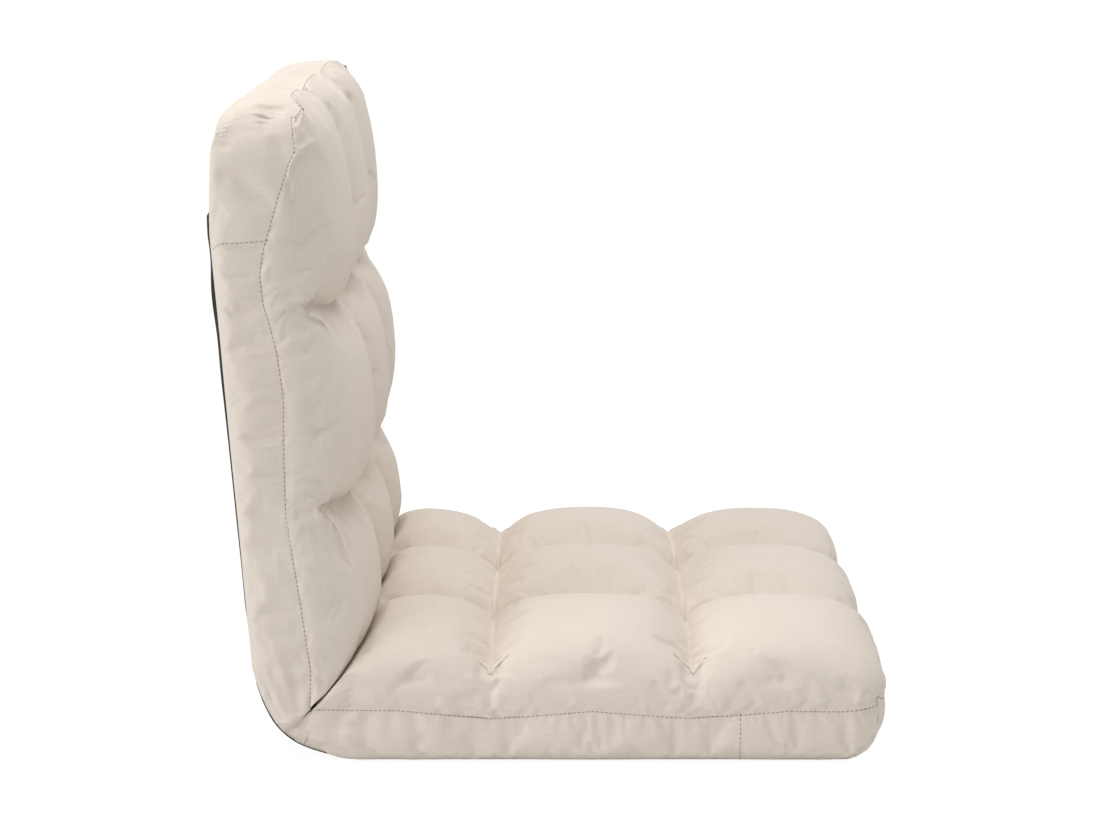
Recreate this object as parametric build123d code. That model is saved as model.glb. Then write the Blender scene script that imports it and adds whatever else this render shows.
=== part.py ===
"""Folding floor chair: two tufted pads on two bent tube frames, joined by a pair of ratchet hinges.

Each half is drawn in its own along / height plane. "Along" runs from the hinge axis to the far
end of the half, and "height" runs from the axis towards the side that is sat on or leant against.
Both halves are then placed on the hinge axis, which lies across the chair.
"""
import os
from dataclasses import dataclass
from math import cos, degrees, pi, radians, sin, tan

from build123d import *

# ---- overall sizes -------------------------------------------------------------------------
width = 535.0            # across both pads
seat_reach = 528.0       # hinge axis to the front of the seat
back_reach = 556.0       # hinge axis to the top of the head roll
hinge_height = 43.0      # floor to hinge axis, and rear face of the back to hinge axis
lean = 4.0               # how far the back leans past upright
recline_travel = 90.0 - lean   # upright to flat
fold_travel = 50.0       # upright to folded forward

# ---- pads ----------------------------------------------------------------------------------
seat_rows = (20.0, 170.0, 354.0)      # where each row of puffs starts, along the seat
back_rows = (20.0, 176.0, 360.0)
seat_crest = 75.0        # hinge axis to the top of the seat puffs
back_crest = 78.0
head_crest = 74.0
groove_drop = 22.0       # how far the sewn grooves lie below the crest before they pinch in
groove_round = 16.0      # roll of each puff into its groove
groove_overlap = 1.0     # how far neighbouring puffs press into each other
edge_drop = 4.0          # fall of the crest towards the outer edges
column_share = 1 / 3     # three equal columns of puffs
puff_run = 32.0          # each puff rises to its full top over this length
puff_fall = 4.0          # fall from the middle of a puff to the end of that rise
puff_round = 70.0
crown_round = 160.0
seat_seam = -1.0         # height of the seam between quilted panel and side strip
back_seam = 10.0
seat_front_round = 45.0
edge_round = 45.0        # outer columns roll over towards the side seam
head_round = 56.0
front_under_round = 45.0
head_under_round = 44.0
front_corner_round = 30.0   # far corners of each pad, seen from above
head_corner_round = 42.0
round_clearance = 1.0    # those rounds cut in at a slight angle, not tangent to the sides
head_taper_start = 440.0  # the head thins from here to its top
head_taper = 15.0
under_edge_round = 14.0
heel_run = 48.0          # the underside turns up towards the hinge over this length
heel_rise = 13.0
heel_round = 80.0
heel_drum = 24.0         # round end of the side strip about the hinge

cover_thick = 1.5        # quilted cloth with its thin wadding, and side strips
panel_thick = 1.2        # heavy black cloth under the seat and behind the back
backing_thick = 1.0
backing_height = 26.1    # the quilting is sewn down to a backing at this height
channel_thick = 1.2      # two layers of cloth sewn together in each channel
panel_lip = 16.0         # how far the side strips turn under, round the black panel
panel_end_margin = 47.0  # black panel stops this far short of the seat's front
head_wrap = 116.0        # pale strip wraps over the head and this far down the rear

soft_gap = 0.3           # between soft pieces and what lies beside them
sewn_gap = 0.2
fold_start = 0.3         # each half starts this far from the plane through the hinge axis
mitre_gap = 0.2          # each pad stops this far from the crease plane

# ---- tube frames ---------------------------------------------------------------------------
tube_radius = 9.5
tube_wall = 1.5
bend_radius = 60.0
rail_margin = 42.5       # side of the chair to the middle of a hinge
front_rail_margin = 43.0  # front of the seat to the middle of the frame's front bend
top_rail_margin = 56.0   # top of the back to the middle of the frame's top bend
cross_radius = 8.0
cross_wall = 1.2
seat_crossings = (200.0, 350.0)
back_crossings = (210.0, 360.0)
weld_gap = 0.15
sheet_thick = 1.0        # woven support cloth stretched over the tubes
sheet_overhang = 9.0
tongue_width = 21.0      # flattened end of a tube
press_length = 20.0      # the tube changes from round to flat over this length

# ---- ratchet hinges ------------------------------------------------------------------------
arm_thick = 4.0
plate_thick = 2.5
washer_thick = 0.6
washer_gap = 0.1
casing_radius = 21.5
plate_half_width = 10.5
plate_length = 80.0
pivot_radius = 4.0
running_gap = 0.06
rivet_radius = 2.5
rivet_head = 4.2
rivet_head_thick = 2.0
pivot_head = 8.0
seat_rivets = (58.0, 71.0)
back_rivets = (50.0, 68.0)
back_tongue_thick = 4.0
back_tongue_start = 34.0
back_tongue_end = 80.0
seat_tongue_start = 50.0
arm_half_width = 10.0
arm_length = 76.0

positions = 14           # locking positions from upright to flat
ratchet_radius = 17.5
tooth_depth = 1.5
tooth_share = 0.84       # share of the pitch that a gap takes at the tips
relief_extra = 8.0       # smooth stretch past the fold, degrees
pawl_angle = -50.0       # where the pawl meets the wheel
pawl_reach = 16.0
pawl_lift = 0.3          # pawl tip rides this far clear of the teeth
pawl_beak = 1.8
pawl_tip_half = 0.1
pawl_beak_half = 0.7
pawl_bar = 3.0
pawl_hub = 4.2
pawl_pin_radius = 2.0
pawl_drop = 1.45         # travel of the pawl tip into a gap
stop_radius = 10.6       # the stop pin runs in a curved slot at this radius
stop_pin_radius = 1.8
slot_gap = 0.2
stop_angle = 90.0        # where the stop pin stands in the casing
spring_wire = 0.5
spring_gap = 0.12
spring_bend = 2.5
spring_post_radius = 1.4
spring_from = 3.0        # the spring's ends and bend, along the pawl from its tip
spring_to = 21.5
spring_fall = 6.5
pawl_nose = 1.6          # the pawl's bar runs this far past its beak
beak_root = 0.5          # the beak is rooted this deep in the bar
tooth_flare = 1.6        # each gap widens outwards by this factor
pawl_pin_head = 1.4      # heads of the small pins, wider than their shanks by this much
spring_post_head = 1.0
belly_reach = 1.4        # the casing's belly, in casing radii and in plate lengths
belly_end = 0.75
belly_rounds = (8.0, 4.0)
heel_reach = 14.0        # the bend of black cloth ends here, just inside the seat's panel
heel_lift = 0.8
heel_cut = 1.3
heel_thick = 1.0

half_width = width / 2
rail_offset = half_width - rail_margin
pocket_inside = 15.0     # room for a hinge in the foam, towards the middle of the chair
pocket_outside = 11.0
pocket_length = 104.0
foam_start = heel_drum + 0.5
core_gap = 0.2
shoulder_inset = 9.0     # the upper foam and the backing stop this far inside the pad's sides
crease_margin = 4.0      # spare length so that the upper foams clear each other when folded
folded_half = (90.0 + lean - fold_travel) / 2
core_start = (backing_height + backing_thick) / tan(radians(folded_half)) + crease_margin
beyond = 90.0            # reach of cutting blocks past what they cut


@dataclass
class Half:
    """One padded half of the chair, in its own along / height plane."""
    name: str
    plane: Plane
    along: tuple
    up: tuple
    reach: float
    rows: tuple
    crests: tuple
    end_round: float
    seam: float
    under_round: float
    corner_round: float
    taper_start: float
    taper: float
    panel_end: float
    rail: float
    crossings: tuple
    tube_offset: float
    tube_start: float
    mitre: float


seat = Half("seat", Plane.XZ, (1, 0, 0), (0, 0, 1), seat_reach, seat_rows, (seat_crest,) * 3,
            seat_front_round, seat_seam, front_under_round, front_corner_round,
            seat_reach - front_under_round, 0.0,
            seat_reach - panel_end_margin, seat_reach - front_rail_margin, seat_crossings, rail_offset,
            plate_length + press_length, (90.0 + lean) / 2)
back = Half("back", Plane((0, 0, 0), x_dir=(0, 0, 1), z_dir=(0, 1, 0)), (0, 0, 1), (1, 0, 0),
            back_reach, back_rows, (back_crest, back_crest, head_crest),
            head_round, back_seam, head_under_round, head_corner_round, head_taper_start, head_taper,
            back_reach - head_wrap, back_reach - top_rail_margin, back_crossings,
            rail_offset - (arm_thick + back_tongue_thick) / 2,
            back_tongue_end + press_length, (90.0 + lean) / 2)


def point(half, along, across, height):
    """A point of a half in the chair's own axes, with the hinge axis at the origin."""
    return Vector(half.along) * along + Vector(0, 1, 0) * across + Vector(half.up) * height


def outline(half, points, radii, thick):
    """A flat outline in along / height, extruded across the chair about its middle."""
    face = half.plane * make_face(FilletPolyline(*points, radius=radii, close=True))
    return extrude(face, thick / 2, both=True)


def section(half, points, radii):
    """An outline in across / height, extruded along a half well past both of its ends."""
    plane = Plane((0, 0, 0), x_dir=(0, 1, 0), z_dir=Vector(0, 1, 0).cross(Vector(half.up)))
    face = plane * make_face(FilletPolyline(*points, radius=radii, close=True))
    return extrude(face, half.reach + beyond, both=True)


def brick(half, along, across, height):
    """A rectangular block of a half, from three (low, high) pairs."""
    low = point(half, along[0], across[0], height[0])
    high = point(half, along[1], across[1], height[1])
    size = high - low
    return Pos(*((low + high) / 2)) * Box(abs(size.X), abs(size.Y), abs(size.Z))


def rod(half, along, height, across, length, radius):
    """A round bar that lies across the chair, centred at one place."""
    centre = point(half, along, across, height)
    return Pos(*centre) * Rot(90, 0, 0) * Cylinder(radius, length)


def both_sides(shape):
    """A shape on one side of the chair together with its mirror image."""
    return [shape, mirror(shape, about=Plane.XZ)]


def plan(half, inset):
    """A half seen from above, its two far corners rounded, as a tall block."""
    end, edge = half.reach - inset + round_clearance, half_width - inset + round_clearance
    points = [(-beyond, -edge), (end, -edge), (end, edge), (-beyond, edge)]
    radius = half.corner_round - inset
    level = Plane(origin=(0, 0, 0), x_dir=half.along, z_dir=half.up)
    face = level * make_face(FilletPolyline(*points, radius=[0, radius, radius, 0], close=True))
    return extrude(face, 2 * beyond, both=True)


def joined(shapes):
    """Several shapes as one."""
    total = shapes[0]
    for shape in shapes[1:]:
        total = total + shape
    return total


def beyond_crease(half, gap):
    """Everything past the plane in which the two pads meet, on the other half's side."""
    start = gap / sin(radians(half.mitre))
    size = half.reach + beyond
    rise = size * tan(radians(half.mitre))
    corners = ((start, 0), (start + size, rise), (-size, rise), (-size, 0))
    return outline(half, corners, (0, 0, 0, 0), 2 * width)


# ---- puffs ---------------------------------------------------------------------------------
def arch(start, end, start_drop, end_drop, crest, start_round, end_round, inset):
    """One puff's full, crowned outline, with the corner radius for each of its points."""
    low, high = start + inset[0], end - inset[1]
    top = crest - inset[2]
    points = [(low, -groove_overlap), (low, top - start_drop)]
    radii = [0, start_round - inset[2]]
    if start_drop == groove_drop:
        points.append((low + puff_run, top - puff_fall))
        radii.append(puff_round - inset[2])
    points.append(((low + high) / 2, top))
    radii.append(crown_round - inset[2])
    if end_drop == groove_drop:
        points.append((high - puff_run, top - puff_fall))
        radii.append(puff_round - inset[2])
    points += [(high, top - end_drop), (high, -groove_overlap)]
    return points, radii + [end_round - inset[2], 0]


def row_arches(half, cloth, wall, overlap):
    """The outline of each row of puffs in along / height."""
    ends = half.rows[1:] + (half.reach,)
    arches = []
    for index, (start, end) in enumerate(zip(half.rows, ends)):
        last = index == len(half.rows) - 1
        inset = (wall - overlap, cloth if last else wall - overlap, cloth)
        arches.append(arch(start, end, groove_drop, edge_drop if last else groove_drop,
                           half.crests[index], groove_round, half.end_round if last else groove_round, inset))
    return arches


def column_arches(half, row, cloth, wall, overlap):
    """The outline of each column of puffs in across / height, at one row."""
    valley = half_width * column_share
    crest = half.crests[row]
    middle = arch(-valley, valley, groove_drop, groove_drop, crest, groove_round, groove_round,
                  (wall - overlap, wall - overlap, cloth))
    outer = arch(valley, half_width, groove_drop, edge_drop, crest, groove_round, edge_round,
                 (wall - overlap, cloth, cloth))
    mirrored = ([(-x, y) for x, y in reversed(outer[0])], list(reversed(outer[1])))
    return [mirrored, middle, outer]


def puffs(half, row, cloth, wall, overlap, low):
    """The three puffs of one row as separate solids, above a given height."""
    across = row_arches(half, cloth, wall, overlap)[row]
    strip = outline(half, *across, 2 * width)
    strip = strip & brick(half, (-beyond, half.reach + beyond), (-width, width), (low, 2 * beyond))
    return [strip & section(half, *column) for column in column_arches(half, row, cloth, wall, overlap)]


def lower_outline(half, inset):
    """Side outline of a half below its puffs, closed at the height where the backing lies."""
    under = -hinge_height + inset
    end = half.reach - inset
    corner = under + half.taper
    points = [(fold_start, backing_height), (fold_start, under + heel_rise), (heel_run, under)]
    radii = [0, 0, heel_round]
    if half.taper:
        points.append((half.taper_start, under))
        radii.append(0)
    points += [(end, corner), (end, backing_height)]
    radii += [half.under_round - inset, 0]
    return points, radii


def lower_section(inset, top):
    """End outline of either half below its puffs."""
    edge, under = half_width - inset, -hinge_height + inset
    points = [(-edge, top), (-edge, under), (edge, under), (edge, top)]
    return points, [0, under_edge_round - inset, under_edge_round - inset, 0]


def pad_body(half):
    """The outer form of one padded half: puffs on top of the strip-sided lower part."""
    lower = outline(half, *lower_outline(half, 0.0), 2 * width)
    lower = lower & section(half, *lower_section(0.0, backing_height))
    rows = [joined(puffs(half, row, 0.0, 0.0, groove_overlap, backing_height - 1.0)) for row in range(3)]
    return (joined([lower] + rows) & plan(half, 0.0)) - beyond_crease(half, mitre_gap)


def cover_inside(half):
    """The room inside the side strips, open below where the black panel closes it."""
    under, lip = -hinge_height + cover_thick, half_width - panel_lip
    end, top = half.reach - cover_thick, backing_height + backing_thick + core_gap / 2
    along = [(-beyond, top), (-beyond, -beyond), (half.panel_end, -beyond), (half.panel_end, under)]
    radii = [0, 0, 0, 0]
    along += [(end, under + half.taper), (end, top)]
    radii += [half.under_round - cover_thick, 0]
    edge = half_width - cover_thick
    corner = under_edge_round - cover_thick
    across = [(-edge, top), (-edge, under), (-lip, under), (-lip, -beyond),
              (lip, -beyond), (lip, under), (edge, under), (edge, top)]
    inside = outline(half, along, radii, 2 * width)
    return inside & section(half, across, [0, corner, 0, 0, 0, 0, corner, 0]) & plan(half, cover_thick)


def drum(gap=0.0):
    """A round bar about the hinge axis, right across the chair."""
    return Rot(90, 0, 0) * Cylinder(heel_drum + gap, 2 * width)


def covers(half):
    """The quilted panel and the side strip of one half."""
    body = pad_body(half)
    above = brick(half, (-beyond, half.reach + beyond), (-width, width), (half.seam, 2 * beyond))
    inside = cover_inside(half)
    pockets = [pocket for row in range(3)
               for pocket in puffs(half, row, cover_thick, channel_thick / 2, 0.0, backing_height - 1.0)]
    quilt = (body & above) - inside
    for pocket in pockets:
        quilt = quilt - (pocket & plan(half, cover_thick))
    quilt = quilt - drum(soft_gap)
    strip = (body - above) - inside
    if half is seat:
        side = Pos(0, half_width - cover_thick / 2, 0) * Rot(90, 0, 0) * Cylinder(heel_drum, cover_thick)
        strip = joined([strip] + both_sides(side))
    else:
        strip = strip - drum(soft_gap)
    return quilt, strip


def fills(half):
    """Fibre filling: three puffs in each row, a little smaller than their pockets."""
    rows = []
    for row in range(3):
        pieces = puffs(half, row, cover_thick + soft_gap, channel_thick / 2 + soft_gap, 0.0,
                       backing_height + backing_thick + sewn_gap)
        room = plan(half, cover_thick + soft_gap)
        rows.append([(piece & room) - beyond_crease(half, mitre_gap) for piece in pieces])
    return rows


# ---- foam, cloth panels and frame ----------------------------------------------------------
def inner_block(half, along_start, low, high, inset):
    """A layer of foam inside the covers, between two heights."""
    block = outline(half, *lower_outline(half, inset), 2 * width)
    block = block & section(half, *lower_section(inset, backing_height)) & plan(half, inset)
    return block & brick(half, (along_start, half.reach), (-width, width), (low, high))


def base_foam(half):
    """Thick foam block with channels for the frame and room for both hinges."""
    foam = inner_block(half, foam_start, -hinge_height, tube_radius - core_gap, cover_thick + soft_gap)
    room = tube_radius + soft_gap
    cross = cross_radius + soft_gap
    offset_y = half.tube_offset
    corners = [point(half, *corner, 0) for corner in
               ((0, -offset_y), (half.rail, -offset_y), (half.rail, offset_y), (0, offset_y))]
    route = FilletPolyline(*corners, radius=bend_radius)
    level = Plane(origin=(0, 0, 0), x_dir=half.along, z_dir=half.up)
    channel = extrude(level * trace(level.to_local_coords(route), 2 * room), 3 * room, dir=half.up)
    foam = foam - channel.moved(Location(point(half, 0, 0, -room)))
    for side in (-1, 1):
        pocket = sorted((side * (rail_offset - pocket_inside), side * (rail_offset + pocket_outside)))
        foam = foam - brick(half, (0, pocket_length), pocket, (-beyond, beyond))
    for place in half.crossings:
        foam = foam - brick(half, (place - cross, place + cross),
                            (-half.tube_offset, half.tube_offset), (-cross, 2 * room))
    return foam


def sheet_stack(half):
    """Support cloth over the tubes, the upper foam, and the backing of the quilting."""
    low = tube_radius + sewn_gap
    edge = half.tube_offset + sheet_overhang
    support = brick(half, (pocket_length, half.rail + sheet_overhang), (-edge, edge), (low, low + sheet_thick))
    foam_low = low + sheet_thick + sewn_gap
    core = inner_block(half, core_start, foam_low, backing_height - core_gap, shoulder_inset)
    edge = half_width - shoulder_inset
    backing = brick(half, (core_start, half.reach), (-edge, edge),
                    (backing_height, backing_height + backing_thick)) & plan(half, shoulder_inset)
    return support, core, backing


def black_panel(half):
    """Heavy cloth under the seat or behind the back, turned up towards the hinge."""
    middle = -hinge_height + panel_thick / 2
    path = FilletPolyline((fold_start, middle + heel_rise), (heel_run, middle),
                          (half.panel_end - sewn_gap, middle), radius=heel_round)
    face = half.plane * trace(path, panel_thick)
    panel = extrude(face, half_width - panel_lip - sewn_gap, both=True)
    return panel & brick(half, (fold_start, half.reach), (-width, width), (-beyond, beyond))


def heel_cloth():
    """The bend of the black cloth round the hinge, sewn inside the seat's panel."""
    inner = heel_drum - heel_thick
    end = (heel_reach, -hinge_height + heel_rise * (1 - heel_reach / heel_run) + panel_thick + heel_lift)
    face = make_face([
        Line((0, -heel_drum), end),
        Line(end, (end[0], end[1] + heel_cut)),
        Line((end[0], end[1] + heel_cut), (0, -inner)),
        ThreePointArc((0, -inner), (-inner * sin(pi / 4), -inner * cos(pi / 4)), (-inner, 0)),
        Line((-inner, 0), (-heel_drum, 0)),
        ThreePointArc((-heel_drum, 0), (-heel_drum * sin(pi / 4), -heel_drum * cos(pi / 4)), (0, -heel_drum)),
    ])
    return extrude(Plane.XZ * face, rail_offset - pocket_inside - sewn_gap, both=True)


def bent_frame(half, tongue_start, tongue_end, tongue_thick):
    """A tube bent into a U, its two ends pressed flat where the hinges are riveted on."""
    offset_y = half.tube_offset
    corners = [point(half, half.tube_start, -offset_y, 0), point(half, half.rail, -offset_y, 0),
               point(half, half.rail, offset_y, 0), point(half, half.tube_start, offset_y, 0)]
    path = FilletPolyline(*corners, radius=bend_radius)
    start = Plane(origin=corners[0], z_dir=half.along)
    tube = sweep(start * Circle(tube_radius), path=path) - sweep(start * Circle(tube_radius - tube_wall), path=path)
    press = Plane(origin=point(half, tongue_end, offset_y, 0), x_dir=(0, 1, 0), z_dir=half.along)
    round_end = Plane(origin=corners[3], x_dir=(0, 1, 0), z_dir=half.along)
    neck = loft([press * Rectangle(tongue_thick, tongue_width), round_end * Circle(tube_radius)])
    tongue = brick(half, (tongue_start, tongue_end), (offset_y - tongue_thick / 2, offset_y + tongue_thick / 2),
                   (-tongue_width / 2, tongue_width / 2))
    return joined([tube] + both_sides(neck + tongue))


def cross_tubes(half):
    """Straight tubes welded between the two rails, their ends coped to the rails."""
    tubes = []
    for place in half.crossings:
        tube = rod(half, place, 0, 0, 2 * half.tube_offset, cross_radius)
        tube = tube - rod(half, place, 0, 0, 2 * half.tube_offset + 2, cross_radius - cross_wall)
        for side in (-1, 1):
            centre = point(half, place, side * half.tube_offset, 0)
            rail = Plane(origin=centre, z_dir=half.along) * Cylinder(tube_radius + weld_gap, 4 * cross_radius)
            tube = tube - rail
        tubes.append(max(tube.solids(), key=lambda piece: piece.volume))
    return tubes


# ---- hinge ---------------------------------------------------------------------------------
layer_gap = arm_thick / 2 + washer_thick + 2 * washer_gap   # hinge middle to a casing plate
radial = (cos(radians(pawl_angle)), sin(radians(pawl_angle)))
tangent = (-radial[1], radial[0])
tip_radius = ratchet_radius + pawl_lift
tip = (tip_radius * radial[0], tip_radius * radial[1])


def by_pawl(out, run):
    """A place beside the pawl, measured outwards from its tip and along towards its pin."""
    return (tip[0] + out * radial[0] + run * tangent[0], tip[1] + out * radial[1] + run * tangent[1])


pawl_pivot = by_pawl(0, pawl_reach)
pawl_travel = degrees(pawl_drop / pawl_reach)
spring_line = pawl_beak + pawl_bar + spring_wire + spring_gap
spring_start = by_pawl(spring_line, spring_from)
spring_corner = by_pawl(spring_line, spring_to)
spring_end = (seat_tongue_start - spring_wire - spring_gap, spring_corner[1] - spring_fall)


def hinge_layer(sketch, low, high):
    """A flat hinge piece between two distances from the hinge's middle, towards the outside."""
    return Pos(0, rail_offset, 0) * extrude(Plane.XZ * sketch, high - low, dir=(0, 1, 0)).moved(Pos(0, low, 0))


def disc(radius, place=(0.0, 0.0)):
    """A filled circle in the hinge's own plane."""
    return Pos(*place) * Circle(radius)


def casing_sketch():
    """Outline of a casing plate with the holes for its pivot, pins and rivets."""
    arm = Pos(plate_length / 2, 0) * Rectangle(plate_length, 2 * plate_half_width)
    belly = make_face(FilletPolyline((0, -casing_radius), (casing_radius * belly_reach, -casing_radius),
                                     (plate_length * belly_end, -plate_half_width), (0, 0),
                                     radius=[0, *belly_rounds, 0], close=True))
    plate = disc(casing_radius) + arm + belly
    holes = [disc(pivot_radius), disc(pawl_pin_radius, pawl_pivot), disc(stop_pin_radius, stop_place()),
             disc(spring_post_radius, spring_post_place())]
    holes += [disc(rivet_radius, (place, 0)) for place in seat_rivets]
    for hole in holes:
        plate = plate - hole
    return plate


def stop_place():
    """Where the stop pin stands, measured from the pivot."""
    return (stop_radius * cos(radians(stop_angle)), stop_radius * sin(radians(stop_angle)))


def spring_post_place():
    """The spring's post stands inside the bend of its wire."""
    start, corner, end = Vector(*spring_start), Vector(*spring_corner), Vector(*spring_end)
    first, second = (start - corner).normalized(), (end - corner).normalized()
    bisector = (first + second).normalized()
    half_angle = radians(first.get_angle(second)) / 2
    centre = corner + bisector * (spring_bend / sin(half_angle))
    return (centre.X, centre.Y)


def ratchet_sketch():
    """Toothed wheel and arm of the back, drawn with the back upright along the height axis."""
    wheel = disc(ratchet_radius)
    pitch = recline_travel / (positions - 1)
    half_gap = pitch * tooth_share / 2
    root = ratchet_radius - tooth_depth
    for index in range(positions):
        centre = pawl_angle - index * pitch
        spread = [(root, centre), (ratchet_radius + 1, centre + half_gap * tooth_flare),
                  (ratchet_radius + 1, centre - half_gap * tooth_flare)]
        corners = [(radius * cos(radians(angle)), radius * sin(radians(angle))) for radius, angle in spread]
        wheel = wheel - make_face(Polyline(*corners, close=True))
    wheel = wheel - relief_sketch(root)
    upright = Rot(0, 0, -lean)
    arm = Pos(0, arm_length / 2 + pivot_radius) * Rectangle(2 * arm_half_width, arm_length)
    arm_hole = [Pos(0, place) * Circle(rivet_radius) for place in back_rivets]
    for hole in arm_hole:
        arm = arm - hole
    plate = wheel + Rot(0, 0, lean) * arm
    plate = plate - slot_sketch() - disc(pivot_radius + running_gap)
    return upright * plate


def relief_sketch(root):
    """The smooth stretch of the wheel that passes the pawl while the back folds forward."""
    start, end = pawl_angle, pawl_angle + fold_travel + relief_extra
    middle = radians((start + end) / 2)
    reach = ratchet_radius + 3
    corners = [(0, 0)]
    corners += [(reach * cos(radians(angle)), reach * sin(radians(angle))) for angle in (start, degrees(middle), end)]
    return make_face(Polyline(*corners, close=True)) - disc(root)


def slot_sketch():
    """Curved slot in the wheel for the stop pin, long enough for the whole travel."""
    radius = stop_pin_radius + slot_gap
    inner, outer = stop_radius - radius, stop_radius + radius
    start, end = radians(stop_angle - recline_travel), radians(stop_angle + fold_travel)
    middle = (start + end) / 2
    ends = [disc(radius, (stop_radius * cos(angle), stop_radius * sin(angle))) for angle in (start, end)]

    def on(circle, angle):
        return (circle * cos(angle), circle * sin(angle))

    band = make_face([ThreePointArc(on(outer, start), on(outer, middle), on(outer, end)),
                      Line(on(outer, end), on(inner, end)),
                      ThreePointArc(on(inner, end), on(inner, middle), on(inner, start)),
                      Line(on(inner, start), on(outer, start))])
    return band + ends[0] + ends[1]


def pawl_sketch():
    """Pawl: a bar on a round hub, with a beak that drops into the wheel's gaps."""
    bar_low, bar_high = pawl_beak, pawl_beak + pawl_bar
    bar = make_face(Polyline(by_pawl(bar_low, -pawl_nose), by_pawl(bar_low, pawl_reach),
                             by_pawl(bar_high, pawl_reach), by_pawl(bar_high, -pawl_nose), close=True))
    beak = make_face(Polyline(by_pawl(0, -pawl_tip_half), by_pawl(0, pawl_tip_half),
                              by_pawl(bar_low + beak_root, pawl_beak_half),
                              by_pawl(bar_low + beak_root, -pawl_beak_half), close=True))
    return bar + beak + disc(pawl_hub, pawl_pivot) - disc(pawl_pin_radius + running_gap, pawl_pivot)


def pin(place, radius, head, low, high):
    """A riveted pin through the hinge, with a flat head at each end."""
    shank = hinge_layer(disc(radius, place), low, high)
    heads = [hinge_layer(disc(head, place), low - rivet_head_thick, low),
             hinge_layer(disc(head, place), high, high + rivet_head_thick)]
    return joined([shank] + heads)


def hinge_parts():
    """Every piece of the hinge on the far side of the chair, by name."""
    outer = layer_gap + plate_thick
    parts = {
        "hinge_outer_plate": hinge_layer(casing_sketch(), layer_gap, outer),
        "hinge_inner_plate": hinge_layer(casing_sketch(), -outer, -layer_gap),
        "pivot_rivet": pin((0, 0), pivot_radius, pivot_head, -outer, outer),
        "pawl_pin": pin(pawl_pivot, pawl_pin_radius, pawl_pin_radius + pawl_pin_head, -outer, outer),
        "stop_pin": pin(stop_place(), stop_pin_radius, stop_pin_radius, -outer, outer),
        "spring_post": pin(spring_post_place(), spring_post_radius, spring_post_radius + spring_post_head,
                           -outer, outer),
        "ratchet_arm": Rot(0, -lean, 0) * hinge_layer(ratchet_sketch(), -arm_thick / 2, arm_thick / 2),
        "pawl": hinge_layer(pawl_sketch(), -arm_thick / 2, arm_thick / 2),
    }
    washer = disc(pivot_head - 1) - disc(pivot_radius + running_gap)
    low = arm_thick / 2 + washer_gap
    parts["washers"] = [hinge_layer(washer, low, low + washer_thick),
                        hinge_layer(washer, -low - washer_thick, -low)]
    wire = FilletPolyline(spring_start, spring_corner, spring_end, radius=spring_bend)
    wire = Plane.XZ * wire
    begin = Plane(origin=wire @ 0, z_dir=wire % 0)
    parts["pawl_spring"] = Pos(0, rail_offset, 0) * sweep(begin * Circle(spring_wire), path=wire)
    parts["seat_rivets"] = [pin((place, 0), rivet_radius, rivet_head, -outer, outer) for place in seat_rivets]
    arm_side = arm_thick / 2
    tongue_side = arm_side + back_tongue_thick
    parts["back_rivets"] = [Rot(0, -lean, 0) * pin((0, place), rivet_radius, rivet_head, -tongue_side, arm_side)
                            for place in back_rivets]
    return parts


def drill(frame, half, places):
    """Rivet holes through the pressed ends of a frame."""
    for place in places:
        frame = frame - rod(half, place, 0, 0, 2 * width, rivet_radius)
    return frame


# ---- the whole chair -----------------------------------------------------------------------
tilt = Rot(0, -lean, 0)
rear_overhang = hinge_height * cos(radians(lean)) + head_taper_start * sin(radians(lean))
hinge_along = (rear_overhang - seat_reach) / 2   # centres the chair on its origin
on_hinge = Pos(hinge_along, 0, hinge_height)


def write(name, shapes, leaning=False):
    """Move one node's solids to their place in the chair and write its file."""
    solids = []
    for shape in shapes if isinstance(shapes, list) else [shapes]:
        moved = on_hinge * (tilt * shape if leaning else shape)
        solids += moved.solids()
    whole = solids[0] if len(solids) == 1 else Compound(children=solids)
    export_step(whole, f"parts/{name}.step")


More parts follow.
